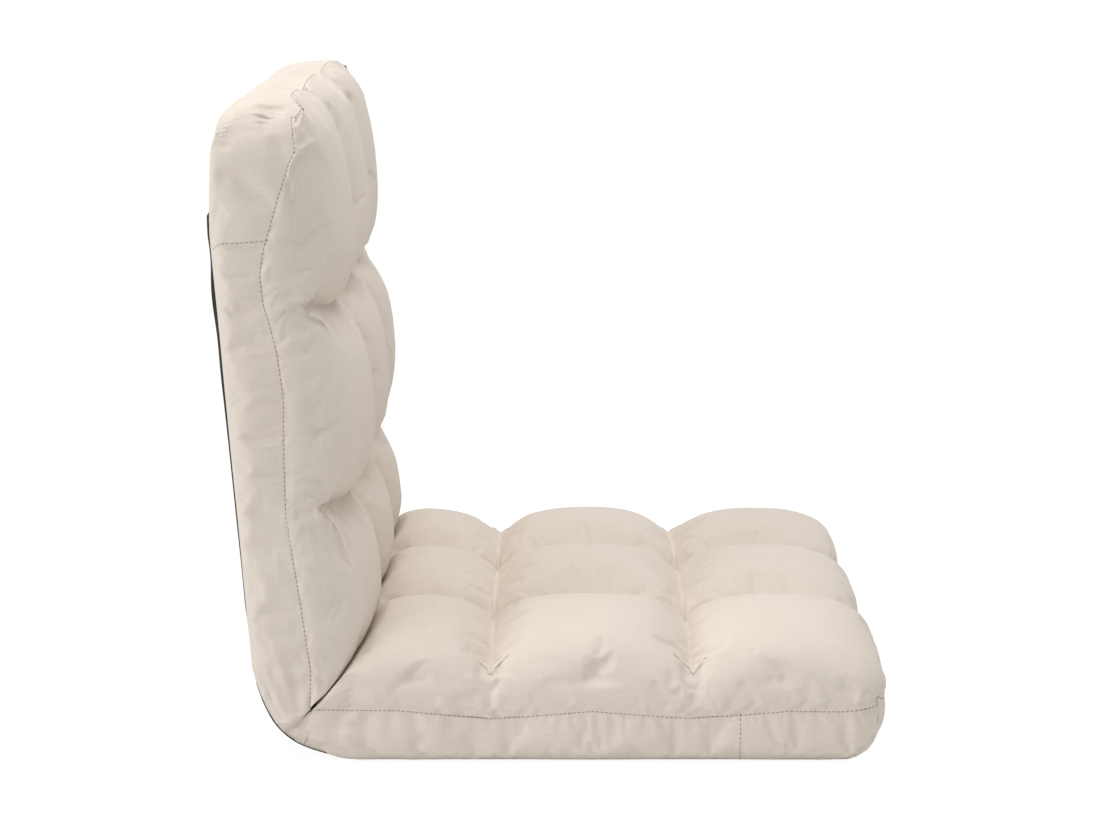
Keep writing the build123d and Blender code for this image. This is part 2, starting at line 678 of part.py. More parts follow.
def build():
    os.makedirs("parts", exist_ok=True)
    row_names = {"seat": ("rear", "middle", "front"), "back": ("lower", "middle", "head")}
    panel_names = {"seat": "seat_bottom_panel", "back": "back_rear_panel"}
    tongue = {"seat": (seat_tongue_start, plate_length, 2 * layer_gap),
              "back": (back_tongue_start, back_tongue_end, back_tongue_thick)}
    rivet_places = {"seat": seat_rivets, "back": back_rivets}
    for half in (seat, back):
        leaning = half is back
        quilt, strip = covers(half)
        write(f"{half.name}_quilted_cover", quilt, leaning)
        write(f"{half.name}_side_strip", strip, leaning)
        for name, row in zip(row_names[half.name], fills(half)):
            write(f"{half.name}_fill_{name}", row, leaning)
        support, core, backing = sheet_stack(half)
        write(f"{half.name}_support_cloth", support, leaning)
        write(f"{half.name}_upper_foam", core, leaning)
        write(f"{half.name}_quilt_backing", backing, leaning)
        write(f"{half.name}_base_foam", base_foam(half), leaning)
        write(panel_names[half.name], black_panel(half), leaning)
        frame = bent_frame(half, *tongue[half.name])
        write(f"{half.name}_frame_tube", drill(frame, half, rivet_places[half.name]), leaning)
        write(f"{half.name}_cross_tubes", cross_tubes(half), leaning)
    write("heel_cloth", heel_cloth())
    hinge = hinge_parts()
    shared = {"stop_pin": "stop_pins", "spring_post": "spring_posts", "seat_rivets": "seat_rivets",
              "back_rivets": "back_rivets", "washers": "hinge_washers", "pawl_pin": "pawl_pins",
              "pivot_rivet": "pivot_rivets"}
    for name, shapes in hinge.items():
        right = shapes if isinstance(shapes, list) else [shapes]
        left = [mirror(shape, about=Plane.XZ) for shape in right]
        if name in shared:
            write(shared[name], right + left)
        else:
            write(f"{name}_far", right)
            write(f"{name}_near", left)
    print("hinge axis at", round(hinge_along, 3), 0, hinge_height)
    print("pawl pivot", [round(value, 3) for value in pawl_pivot], "travel", round(pawl_travel, 3))


build()
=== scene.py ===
import math

import bpy
import numpy as np
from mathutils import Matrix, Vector


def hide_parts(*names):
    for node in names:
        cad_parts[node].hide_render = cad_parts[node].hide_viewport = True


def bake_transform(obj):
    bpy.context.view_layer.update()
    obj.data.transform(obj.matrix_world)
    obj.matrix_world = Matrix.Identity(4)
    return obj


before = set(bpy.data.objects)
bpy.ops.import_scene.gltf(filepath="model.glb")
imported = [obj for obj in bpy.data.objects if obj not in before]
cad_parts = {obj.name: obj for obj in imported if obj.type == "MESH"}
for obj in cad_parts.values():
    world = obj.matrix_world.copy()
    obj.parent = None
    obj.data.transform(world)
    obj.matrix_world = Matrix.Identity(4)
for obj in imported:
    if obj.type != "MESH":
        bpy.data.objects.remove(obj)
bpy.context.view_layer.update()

# ---- studio ----
# White paper sweep under soft lamps, with the camera level across the chair from its right
# side and tipped down a little. None of this is part of the chair.
scene = bpy.context.scene
scene.view_settings.view_transform = "Standard"


def plain_material(name):
    """A new node material, its node tree and its Principled BSDF."""
    material = bpy.data.materials.new(name)
    material.use_nodes = True
    return material, material.node_tree, material.node_tree.nodes["Principled BSDF"]


def new_node(tree, kind, **values):
    """A node with some of its named inputs set."""
    node = tree.nodes.new(kind)
    set_inputs(node, **values)
    return node


def set_inputs(node, **values):
    """Sets inputs by their names, with an underscore for each space."""
    for name, value in values.items():
        node.inputs[name.replace("_", " ")].default_value = value


def joined(tree, *pairs):
    """Links outputs to inputs."""
    for source, target in pairs:
        tree.links.new(source, target)


def math_node(tree, operation, *values):
    """A Math node whose inputs are numbers or other nodes' outputs."""
    node = tree.nodes.new("ShaderNodeMath")
    node.operation = operation
    for socket, value in zip(node.inputs, values):
        if isinstance(value, (int, float)):
            socket.default_value = value
        else:
            tree.links.new(value, socket)
    return node.outputs[0]


def put(piece):
    """Puts an object in the scene."""
    scene.collection.objects.link(piece)
    return piece


camera_data = bpy.data.cameras.new("photo_camera")
camera_data.lens = 83.1
camera_data.sensor_width = 36.0
camera = put(bpy.data.objects.new("photo_camera", camera_data))
camera.location = (-0.003, -2.4578, 0.7927)
camera.rotation_euler = (math.radians(90 - 12.0), 0, 0)
scene.camera = camera

paper, paper_tree, paper_shader = plain_material("white_paper_sweep")
set_inputs(paper_shader, Base_Color=(0.9, 0.9, 0.9, 1), Roughness=0.9)
paper_glow = new_node(paper_tree, "ShaderNodeEmission", Strength=1.12)
paper_seen = paper_tree.nodes.new("ShaderNodeLightPath").outputs["Is Camera Ray"]
paper_mix = paper_tree.nodes.new("ShaderNodeMixShader")
joined(paper_tree, (math_node(paper_tree, "MULTIPLY", paper_seen, 0.84), paper_mix.inputs["Fac"]),
       (paper_shader.outputs[0], paper_mix.inputs[1]), (paper_glow.outputs[0], paper_mix.inputs[2]),
       (paper_mix.outputs[0], paper_tree.nodes["Material Output"].inputs["Surface"]))

floor_mesh = bpy.data.meshes.new("studio_floor")
floor_mesh.from_pydata([(-6, -6, 0), (6, -6, 0), (6, 6, 0), (-6, 6, 0)], [], [(0, 1, 2, 3)])
floor_mesh.materials.append(paper)
floor = put(bpy.data.objects.new("studio_floor", floor_mesh))

world = bpy.data.worlds.new("studio")
scene.world = world
world.use_nodes = True
sky = world.node_tree.nodes["Background"]
set_inputs(sky, Color=(1.0, 1.0, 1.0, 1))
world_level = new_node(world.node_tree, "ShaderNodeMapRange", To_Min=0.46, To_Max=1.15)
joined(world.node_tree, (world_level.outputs["Result"], sky.inputs["Strength"]),
       (world.node_tree.nodes.new("ShaderNodeLightPath").outputs["Is Camera Ray"], world_level.inputs["Value"]))


def softbox(name, place, aim, width, height, power):
    """One large soft lamp that looks at a point of the chair."""
    lamp = bpy.data.lights.new(name, "AREA")
    lamp.shape = "RECTANGLE"
    lamp.size, lamp.size_y, lamp.energy = width, height, power
    box = put(bpy.data.objects.new(name, lamp))
    box.location = place
    box.rotation_euler = (Vector(aim) - Vector(place)).to_track_quat("-Z", "Y").to_euler()


softbox("overhead_softbox", (0.15, 0.1, 2.6), (0.0, 0.0, 0.1), width=2.0, height=2.0, power=36)
softbox("left_softbox", (-2.6, -1.3, 1.5), (-0.1, -0.1, 0.3), width=1.6, height=1.6, power=32)

# ---- steel frames ----
# Two bent steel tubes with two cross tubes welded into each, sprayed black. The paint is thin,
# lightly pebbled, and rubbed through to bright steel in small scuffs.
def noise_node(tree, vector, scale, detail=2.0, roughness=0.5):
    """The factor of a Noise texture laid on a vector."""
    node = new_node(tree, "ShaderNodeTexNoise", Scale=scale, Detail=detail, Roughness=roughness)
    tree.links.new(vector, node.inputs["Vector"])
    return node.outputs["Fac"]


def scaled(tree, vector, factors):
    """A vector stretched differently along each of its parts."""
    node = tree.nodes.new("ShaderNodeVectorMath")
    node.operation = "MULTIPLY"
    node.inputs[1].default_value = factors
    tree.links.new(vector, node.inputs[0])
    return node.outputs[0]


def own_place(tree):
    """Where a surface lies in its piece's own frame."""
    return tree.nodes.new("ShaderNodeTexCoord").outputs["Object"]


def tone(tree, low, high, factor):
    """A colour or number between two, by a factor."""
    node = tree.nodes.new("ShaderNodeMix")
    colour = isinstance(low, tuple) or getattr(low, "type", "") == "RGBA"
    node.data_type = "RGBA" if colour else "FLOAT"
    kind = "RGBA" if colour else "VALUE"
    a, b = [socket for socket in node.inputs if socket.type == kind and socket.name in "AB"][:2]
    for socket, value in ((a, low), (b, high), (node.inputs[0], factor)):
        if isinstance(value, (tuple, float)):
            socket.default_value = value
        else:
            tree.links.new(value, socket)
    return next(socket for socket in node.outputs if socket.type == kind)


def relief(tree, shader, height, strength, distance):
    """Bumps a surface by a height."""
    bump = new_node(tree, "ShaderNodeBump", Strength=strength, Distance=distance)
    joined(tree, (height, bump.inputs["Height"]), (bump.outputs["Normal"], shader.inputs["Normal"]))


def node_group(name, kind, inputs, outputs):
    """A node group with named inputs, given by their usual values or by their type, and outputs."""
    group = bpy.data.node_groups.new(name, kind)
    for in_out, sockets in (("INPUT", inputs), ("OUTPUT", outputs)):
        for title, usual in sockets.items():
            typed = usual if isinstance(usual, str) else "Color" if isinstance(usual, tuple) else "Float"
            socket = group.interface.new_socket(title, in_out=in_out, socket_type="NodeSocket" + typed)
            if typed is not usual:
                socket.default_value = usual
    return group, group.nodes.new("NodeGroupInput").outputs, group.nodes.new("NodeGroupOutput").inputs


worn, worn_in, worn_out = node_group(
    "worn_finish", "ShaderNodeTree",
    {"Place": "Vector", "Finish": (0.1, 0.1, 0.1, 1), "Bare": (0.5, 0.5, 0.5, 1), "Wear": 0.3, "Grain": 900.0,
     "Smooth": 0.4, "Rough": 0.6},
    {"Color": "Color", "Roughness": "Float", "Height": "Float", "Bare Mask": "Float"})
patches = noise_node(worn, worn_in["Place"], 60.0, detail=5.0, roughness=0.7)
scuffs = new_node(worn, "ShaderNodeMapRange", From_Max=0.82)
least_patch = math_node(worn, "SUBTRACT", 0.78, math_node(worn, "MULTIPLY", worn_in["Wear"], 0.25))
grain = worn.nodes.new("ShaderNodeTexNoise")
joined(worn, (patches, scuffs.inputs["Value"]), (least_patch, scuffs.inputs["From Min"]),
       (worn_in["Place"], grain.inputs["Vector"]), (worn_in["Grain"], grain.inputs["Scale"]),
       (tone(worn, worn_in["Finish"], worn_in["Bare"], scuffs.outputs[0]), worn_out["Color"]),
       (tone(worn, worn_in["Rough"], worn_in["Smooth"], grain.outputs["Fac"]), worn_out["Roughness"]),
       (grain.outputs["Fac"], worn_out["Height"]), (scuffs.outputs[0], worn_out["Bare Mask"]))


def finish_nodes(material, *names):
    """Gives carried-over pieces their material."""
    for name in names:
        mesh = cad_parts[name].data
        mesh.materials.clear()
        mesh.materials.append(material)


def metal_finish(names, title, finish, bare, wear, grain, smooth, rough, depth, metallic=None, stretch=(1, 1, 1)):
    """Some metal pieces' finish, worn through to bare metal in places. Paint is metallic only where it's bare."""
    material, tree, shader = plain_material(title)
    group = tree.nodes.new("ShaderNodeGroup")
    group.node_tree = worn
    set_inputs(group, Finish=finish + (1,), Bare=bare + (1,), Wear=wear, Grain=grain, Smooth=smooth, Rough=rough)
    joined(tree, (scaled(tree, own_place(tree), stretch), group.inputs["Place"]),
           (group.outputs["Color"], shader.inputs["Base Color"]),
           (group.outputs["Roughness"], shader.inputs["Roughness"]))
    relief(tree, shader, group.outputs["Height"], depth, distance=0.0003)
    if metallic is None:
        tree.links.new(group.outputs["Bare Mask"], shader.inputs["Metallic"])
    else:
        set_inputs(shader, Metallic=metallic)
    finish_nodes(material, *names)


metal_finish(("seat_frame_tube", "back_frame_tube", "seat_cross_tubes", "back_cross_tubes"),
             "black_frame_paint", (0.022, 0.022, 0.024), (0.42, 0.42, 0.43), wear=0.25, grain=1400.0,
             smooth=0.32, rough=0.52, depth=0.35)

# ---- ratchet hinges ----
# Pressed casing plates with a black oxide finish, and a toothed arm and pawl of bright steel
# with fine polishing lines. Rivets are dull nickel, the washers are nylon, the spring is wire.
metal_finish(("hinge_outer_plate_near", "hinge_outer_plate_far", "hinge_inner_plate_near", "hinge_inner_plate_far"),
             "black_oxide_plate", (0.045, 0.046, 0.050), (0.46, 0.46, 0.47), wear=0.5, grain=1100.0,
             smooth=0.30, rough=0.50, depth=0.25)
metal_finish(("ratchet_arm_near", "ratchet_arm_far", "pawl_near", "pawl_far"),
             "polished_ratchet_steel", (0.50, 0.50, 0.51), (0.62, 0.61, 0.60), wear=0.8, grain=500.0,
             smooth=0.22, rough=0.42, depth=0.30, metallic=1.0, stretch=(1.0, 1.0, 0.06))
metal_finish(("seat_rivets", "back_rivets", "pivot_rivets", "pawl_pins", "stop_pins", "spring_posts"),
             "dull_nickel", (0.56, 0.55, 0.53), (0.68, 0.67, 0.65), wear=0.6, grain=1600.0,
             smooth=0.28, rough=0.45, depth=0.2, metallic=1.0)
metal_finish(("pawl_spring_near", "pawl_spring_far"),
             "spring_wire_steel", (0.44, 0.44, 0.45), (0.60, 0.60, 0.60), wear=0.4, grain=2200.0,
             smooth=0.25, rough=0.4, depth=0.2, metallic=1.0, stretch=(0.1, 1.0, 1.0))
metal_finish(("hinge_washers",), "natural_nylon", (0.80, 0.79, 0.74), (0.70, 0.69, 0.62), wear=0.3,
             grain=1800.0, smooth=0.38, rough=0.55, depth=0.15, metallic=0.0)

# ---- support cloths and quilt backings ----
# Grey woven cloth stretched over the frame tubes, and the thin grey backing to which the
# quilting is sewn. Both are plain weaves of coarse and fine thread.
# A weave of two thread colours, over and under, with thicker slubs and cloudy patches.
woven, weave_in, weave_out = node_group(
    "woven_cloth", "ShaderNodeTree",
    {"Threads": "Vector", "Place": "Vector", "Light Thread": (0.8, 0.8, 0.8, 1), "Dark Thread": (0.6, 0.6, 0.6, 1),
     "Thread Count": 1100.0, "Slubs": 0.5, "Cloudiness": 0.3, "Base Roughness": 0.85},
    {"Color": "Color", "Roughness": "Float", "Height": "Float"})


def times(*values):
    """A product in the weave."""
    return math_node(woven, "MULTIPLY", *values)


def plus(*values):
    """A sum in the weave."""
    return math_node(woven, "ADD", *values)


split = woven.nodes.new("ShaderNodeSeparateXYZ")
woven.links.new(weave_in["Threads"], split.inputs[0])
warp, weft = [math_node(woven, "SINE", times(times(split.outputs[axis], weave_in["Thread Count"]), math.pi))
              for axis in "XY"]
over = math_node(woven, "GREATER_THAN", times(warp, weft), 0.0)
thread = plus(times(math_node(woven, "ABSOLUTE", warp), over),
              times(math_node(woven, "ABSOLUTE", weft), math_node(woven, "SUBTRACT", 1.0, over)))
slub_mask = math_node(woven, "MAXIMUM", *(
    noise_node(woven, scaled(woven, weave_in["Threads"], stretch), 1.0, roughness=0.6)
    for stretch in ((38.0, 900.0, 1.0), (900.0, 30.0, 1.0))))
slub = times(math_node(woven, "SUBTRACT", slub_mask, 0.52), weave_in["Slubs"])
cloud = noise_node(woven, weave_in["Place"], 7.0, detail=3.0, roughness=0.55)
cloud_part = times(math_node(woven, "SUBTRACT", cloud, 0.5), weave_in["Cloudiness"])
shade = plus(plus(plus(times(thread, 0.35), times(slub, 2.2)), cloud_part), 0.35)
shade_limit = woven.nodes.new("ShaderNodeClamp")
joined(woven, (shade, shade_limit.inputs["Value"]),
       (tone(woven, weave_in["Dark Thread"], weave_in["Light Thread"], shade_limit.outputs[0]), weave_out["Color"]),
       (plus(weave_in["Base Roughness"], times(slub, -0.3)), weave_out["Roughness"]),
       (plus(times(thread, 0.5), times(slub, 1.6)), weave_out["Height"]))


def cloth_material(name, light, dark, threads, slubs, depth, cloudiness=0.3, roughness=0.9, uv=True, sheen=0.0):
    """A woven cloth in two thread colours, with its weave laid on the piece's own cloth map."""
    material, tree, shader = plain_material(name)
    cloth = tree.nodes.new("ShaderNodeGroup")
    cloth.node_tree = woven
    set_inputs(cloth, Light_Thread=light + (1,), Dark_Thread=dark + (1,), Thread_Count=threads, Slubs=slubs,
               Cloudiness=cloudiness, Base_Roughness=roughness)
    place = own_place(tree)
    laid = place
    if uv:
        cloth_map = tree.nodes.new("ShaderNodeUVMap")
        cloth_map.uv_map = "cloth"
        laid = cloth_map.outputs["UV"]
    joined(tree, (laid, cloth.inputs["Threads"]), (place, cloth.inputs["Place"]),
           (cloth.outputs["Color"], shader.inputs["Base Color"]),
           (cloth.outputs["Roughness"], shader.inputs["Roughness"]))
    relief(tree, shader, cloth.outputs["Height"], depth, distance=0.0006)
    set_inputs(shader, Sheen_Weight=sheen, Sheen_Roughness=0.6, Specular_IOR_Level=0.2)
    return material


support_weave = cloth_material("grey_support_weave", (0.36, 0.36, 0.37), (0.22, 0.22, 0.23), threads=420.0,
                               slubs=0.2, cloudiness=0.2, roughness=0.7, depth=0.6, uv=False)
backing_weave = cloth_material("grey_backing_weave", (0.50, 0.50, 0.50), (0.38, 0.38, 0.38), threads=1000.0,
                               slubs=0.3, depth=0.3, uv=False)
finish_nodes(support_weave, "seat_support_cloth", "back_support_cloth")
finish_nodes(backing_weave, "seat_quilt_backing", "back_quilt_backing")

# ---- foam ----
# Cream polyurethane foam with open cells that show as fine pits, a little yellower in places.
foam_cells, foam_tree, foam_shader = plain_material("open_cell_foam")
foam_place = own_place(foam_tree)
cells = new_node(foam_tree, "ShaderNodeTexVoronoi", Scale=750.0)
aged = noise_node(foam_tree, foam_place, 14.0, detail=3.0)
joined(foam_tree, (foam_place, cells.inputs["Vector"]),
       (tone(foam_tree, (0.80, 0.73, 0.56, 1), (0.87, 0.83, 0.71, 1), aged), foam_shader.inputs["Base Color"]),
       (tone(foam_tree, 0.85, 1.0, cells.outputs["Distance"]), foam_shader.inputs["Roughness"]))
relief(foam_tree, foam_shader, cells.outputs["Distance"], strength=0.7, distance=0.0008)
finish_nodes(foam_cells, "seat_base_foam", "back_base_foam", "seat_upper_foam", "back_upper_foam")

# ---- quilted covers ----
# Linen-look cloth sewn down in three rows and three columns over soft filling, so that nine
# puffs rise between the channels. Where channels cross, the cloth is pulled in deepest. Each
# cover is laid out as a grid, sewn down along its channels, and blown up as cloth.
HINGE = np.array((-0.227206, 0.0, 0.043))
LEAN = math.radians(4)
CREASE = math.radians(47)  # the plane in which seat and back press together
ACROSS_CREASE = np.array((math.sin(CREASE), 0.0, -math.cos(CREASE)))
HALF_WIDTH = 0.2675
VALLEY = HALF_WIDTH / 3  # the channels between the columns
UNDERSIDE = -0.043  # underside of the seat, and rear of the back, below the hinge axis
HEAD_START = 0.440  # the head thins from here to its top
ALONG = {"seat": np.array((1, 0, 0)), "back": np.array((-math.sin(LEAN), 0, math.cos(LEAN)))}
UP = {"seat": np.array((0, 0, 1)), "back": np.array((math.cos(LEAN), 0, math.sin(LEAN)))}


def placed(half, points):
    """Points of one half, given along it, across it and above its hinge axis, in the chair's own frame."""
    return HINGE + points[..., :1] * ALONG[half] + points[..., 2:] * UP[half] + points[..., 1:2] * np.array((0, 1, 0))


def lengths(points, axis=0):
    """How far each point of a line or grid lies along its line, from the line's start."""
    step = np.linalg.norm(np.diff(points, axis=axis), axis=-1)
    return np.concatenate((np.zeros_like(step.take([0], axis)), np.cumsum(step, axis)), axis)


def curve_through(points, count):
    """A smooth line through a few points, with its vertices evenly spaced."""
    points = np.array(points, float)
    padded = np.vstack((2 * points[0] - points[1], points, 2 * points[-1] - points[-2]))
    t = np.linspace(0, 1, 24, endpoint=False)[:, None]
    runs = [0.5 * (2 * b + (c - a) * t + (2 * a - 5 * b + 4 * c - d) * t**2 + (3 * b - a - 3 * c + d) * t**3)
            for a, b, c, d in zip(padded, padded[1:], padded[2:], padded[3:])]
    dense = np.vstack(runs + [points[-1:]])
    length = lengths(dense)
    at = np.linspace(0, length[-1], count + 1)
    return np.stack([np.interp(at, length, dense[:, k]) for k in range(dense.shape[1])], 1)


PADS = {
    "seat": {
        "channels": (0.170, 0.354), "reach": 0.530, "roll_start": 0.455, "corner": 0.032, "foam_corner": 0.027,
        "shoulder": ((0.0892, 0.0740), (0.130, 0.0745), (0.168, 0.0735), (0.198, 0.0700), (0.224, 0.0630),
                     (0.243, 0.0545), (0.257, 0.0410), (0.266, 0.0250), (0.2695, 0.0090), (0.2685, -0.001)),
        "seam": ((0.0, 0.0095), (0.09, 0.0085), (0.170, -0.0005), (0.262, 0.008), (0.352, 0.0), (0.440, 0.008),
                 (0.490, 0.0075), (0.530, 0.011)),
        "crest": ((0.0, 0.0), (0.6, 0.0)), "sag": 0.0,
        "counts": (24, 22, 42, 26, 26),
    },
    "back": {
        "channels": (0.177, 0.360), "reach": 0.556, "roll_start": 0.448, "corner": 0.056, "foam_corner": 0.039,
        "shoulder": ((0.0892, 0.0720), (0.130, 0.0720), (0.168, 0.0700), (0.198, 0.0655), (0.224, 0.0580),
                     (0.243, 0.0490), (0.257, 0.0380), (0.266, 0.0260), (0.2695, 0.0150), (0.2685, 0.008)),
        "seam": ((0.0, 0.007), (0.045, 0.012), (0.115, 0.008), (0.185, 0.002), (0.230, 0.005), (0.300, 0.0105),
                 (0.340, 0.0075), (0.380, 0.0), (0.408, 0.0), (0.432, 0.006), (0.447, 0.0122), (0.470, 0.0205),
                 (0.490, 0.029), (0.518, 0.040), (0.556, 0.038)),
        "crest": ((0.0, -0.005), (0.10, -0.007), (0.18, -0.004), (0.26, 0.0), (0.36, 0.0), (0.44, -0.005),
                  (0.6, -0.005)),
        "sag": -0.015,
        "counts": (24, 23, 42, 24, 28),
    },
}
SIDE_STEPS, MIDDLE_STEPS = 56, 42
MID_ROW = 60  # a row of the grid on the flat of the pad
CORNER = 0.014  # the turn of each half under its sides


def bump_step(value, low, high):
    """0 below low, 1 above high, and smooth between."""
    t = np.clip((np.asarray(value, float) - low) / (high - low), 0, 1)
    return t * t * (3 - 2 * t)


def sewn_in(distance, reach, power=2.4):
    """How far cloth is drawn in beside a sewn channel: 1 on the channel, 0 at its reach."""
    return np.clip(1 - np.abs(distance) / reach, 0, 1) ** power


def outwards(points, row=MID_ROW):
    """Unit normals of a grid, pointing away from the pad's filling."""
    normal = np.cross(np.gradient(points, axis=1), np.gradient(points, axis=0))
    normal /= np.linalg.norm(normal, axis=-1, keepdims=True) + 1e-12
    return normal * np.sign(normal[len(points) // 2, row, 2])


def quilt_grid(half):
    """The sewn-down cover before it is blown up: its points, cloth lengths and channel lines."""
    pad = PADS[half]
    side = curve_through(pad["shoulder"], SIDE_STEPS)
    middle = np.linspace(-VALLEY, VALLEY, MIDDLE_STEPS + 1)[1:-1]
    y = np.concatenate((-side[::-1, 0], middle, side[:, 0]))
    top = np.concatenate((side[::-1, 1], np.full(len(middle), side[0, 1]), side[:, 1]))
    columns = len(y)
    seam_at, crest_at = np.array(pad["seam"]), np.array(pad["crest"])
    first, second = pad["channels"]
    roll = pad["roll_start"]
    n_face, n_rear, n_mid, n_front, n_roll = pad["counts"]
    edge = np.clip((top - top.min()) / (top.max() - top.min()), 0, 1)
    slope = np.array((math.cos(CREASE), math.sin(CREASE)))

    lines = []
    for k in range(columns):
        height = top[k]
        start = 0.002 + 0.014 * edge[k]
        foot = slope * (start + (1 - edge[k]) * seam_at[0, 1]) + np.array((0.0012, 0.0))
        corner = np.array((max(height, 0.004) / math.tan(CREASE) + 0.0012, height))
        ease = min(0.030, 0.6 * np.linalg.norm(corner - foot)) * max(edge[k], 0.15)
        before = corner - slope * ease
        after = corner + np.array((ease, 0.0))
        n_run = n_face - 9
        run = foot + (before - foot) * np.linspace(0, 1, n_run, endpoint=False)[:, None]
        t = np.linspace(0, 1, 10)[:-1, None]
        bend = (1 - t) ** 2 * before + 2 * t * (1 - t) * corner + t**2 * after
        flat = np.concatenate([np.linspace(*part, endpoint=False) for part in (
            (after[0], first, n_rear), (first, second, n_mid), (second, roll, n_front))])
        flat = np.stack((flat, np.full(len(flat), height)), 1)
        angle = np.linspace(0, math.pi / 2, n_roll + 1)
        reach = pad["reach"] - roll
        power = 0.62 if half == "seat" else 0.95
        over = np.stack((roll + reach * np.sin(angle) ** 0.94, np.cos(angle) ** power), 1)
        seam_end = seam_at[-1, 1]
        over[:, 1] = seam_end + (height - seam_end) * over[:, 1] if height > seam_end else height
        lines.append(np.vstack((run, bend, flat, over)))
    shape = np.array(lines)
    along, height = shape[..., 0].copy(), shape[..., 1].copy()
    across = np.repeat(y[:, None], along.shape[1], 1)

    # the side seam rises and falls, and drops where the channels pull on it
    lift = np.interp(along, seam_at[:, 0], seam_at[:, 1]) - top.min()
    height += lift * (1 - edge[:, None]) ** 1.5
    height += np.interp(along, crest_at[:, 0], crest_at[:, 1]) * edge[:, None]

    # the far corners are rounded in plan
    size = pad["corner"]
    px = np.clip((np.abs(across) - (across.max() - size)) / size, 0, 1)
    pa = np.clip((along - (pad["reach"] - size)) / size, 0, 1)
    across = np.where(px > 0, np.sign(across) * (across.max() - size + size * px * np.sqrt(1 - pa**2 / 2)), across)
    along = np.where(pa > 0, pad["reach"] - size + size * pa * np.sqrt(1 - px**2 / 2), along)

    points = np.stack((along, across, height), -1)
    normal = outwards(points)

    # the channels, and the crown of each puff between them
    arc, run = lengths(points), lengths(points, 1)
    from_side = np.minimum(arc, arc[-1] - arc)
    on_side = bump_step(from_side, 0.028, 0.085)
    rows = [n_face + n_rear, n_face + n_rear + n_mid]
    row_pull, col_pull, crown = np.zeros((3,) + along.shape)
    for index in rows:
        sag = pad["sag"] * (1 - bump_step(from_side, 0.04, 0.15)) * bump_step(from_side, 0.0, 0.02)
        away = run - run[:, index:index + 1]
        points[..., 0] -= sag * np.clip(1 - np.abs(away) / 0.05, 0, 1) ** 1.2
        drawn = sewn_in(away, 0.085) * (0.003 + 0.016 * on_side)
        drawn += sewn_in(away, 0.016, 1.4) * 0.006 * bump_step(from_side, 0.03, 0.055)
        row_pull = np.maximum(row_pull, drawn)
    columns_at = [SIDE_STEPS, SIDE_STEPS + MIDDLE_STEPS]
    fade = bump_step(run, 0.024, 0.084) * (0.35 + 0.65 * bump_step(run[:, -1:] - run, 0.0, 0.07))
    for index in columns_at:
        away = arc - arc[index]
        col_pull = np.maximum(col_pull, sewn_in(away, 0.080) * 0.021 * fade)
    pull = (row_pull**1.6 + col_pull**1.6) ** (1 / 1.6)
    pinch = int(np.argmin(np.abs(points[:columns // 4, MID_ROW, 2] - 0.039)))
    for spots, depth, reach, power in (((pinch, columns - 1 - pinch), 0.004, 0.014, 1.5),
                                       (columns_at, 0.013, 0.034, 2)):
        for i in spots:
            for j in rows:
                gap = np.linalg.norm(points - points[i, j], axis=-1)
                pull += depth * np.clip(1 - gap / reach, 0, 1) ** power
    for low, high in zip([0] + rows, rows + [along.shape[1] - 1]):
        part = run[:, low:high + 1]
        u = (part - part[:, :1]) / (part[:, -1:] - part[:, :1] + 1e-9) * 2 - 1
        for left, right in zip([0] + columns_at, columns_at + [columns - 1]):
            puff = slice(left, right + 1), slice(low, high + 1)
            v = arc[puff] - arc[left, low:high + 1]
            v = v / (v[-1:] + 1e-9) * 2 - 1
            crown[puff] = np.maximum(crown[puff], (1 - u[left:right + 1] ** 2) * (1 - v**2))
    points += normal * (0.004 * crown * bump_step(run, 0.02, 0.09) - pull)[..., None]
    points[..., 2] = np.where(pull > 0.02, np.maximum(points[..., 2], 0.031), points[..., 2])
    points = over_edges(half, points, points)
    cloth_at = np.stack((arc - arc[columns // 2], run), -1)
    return points, cloth_at, rows, columns_at


def rim_of(columns, rows):
    """The border of a grid, once round it from its first point along its first column."""
    return ([(0, j) for j in range(rows)] + [(i, rows - 1) for i in range(1, columns)]
            + [(columns - 1, j) for j in range(rows - 2, -1, -1)] + [(i, 0) for i in range(columns - 2, 0, -1)])


def grid_faces(columns, rows):
    """Quads of a grid whose vertices run row by row within each column, facing outwards."""
    i, j = np.meshgrid(np.arange(columns - 1), np.arange(rows - 1), indexing="ij")
    a = i * rows + j
    return np.stack((a, a + 1, a + rows + 1, a + rows), -1).reshape(-1, 4)


def add_mesh(name, points, faces):
    """A new object from points and faces, at the origin."""
    mesh = bpy.data.meshes.new(name)
    mesh.from_pydata(points.reshape(-1, 3).tolist(), [], [tuple(face) for face in faces])
    mesh.update()
    return put(bpy.data.objects.new(name, mesh))


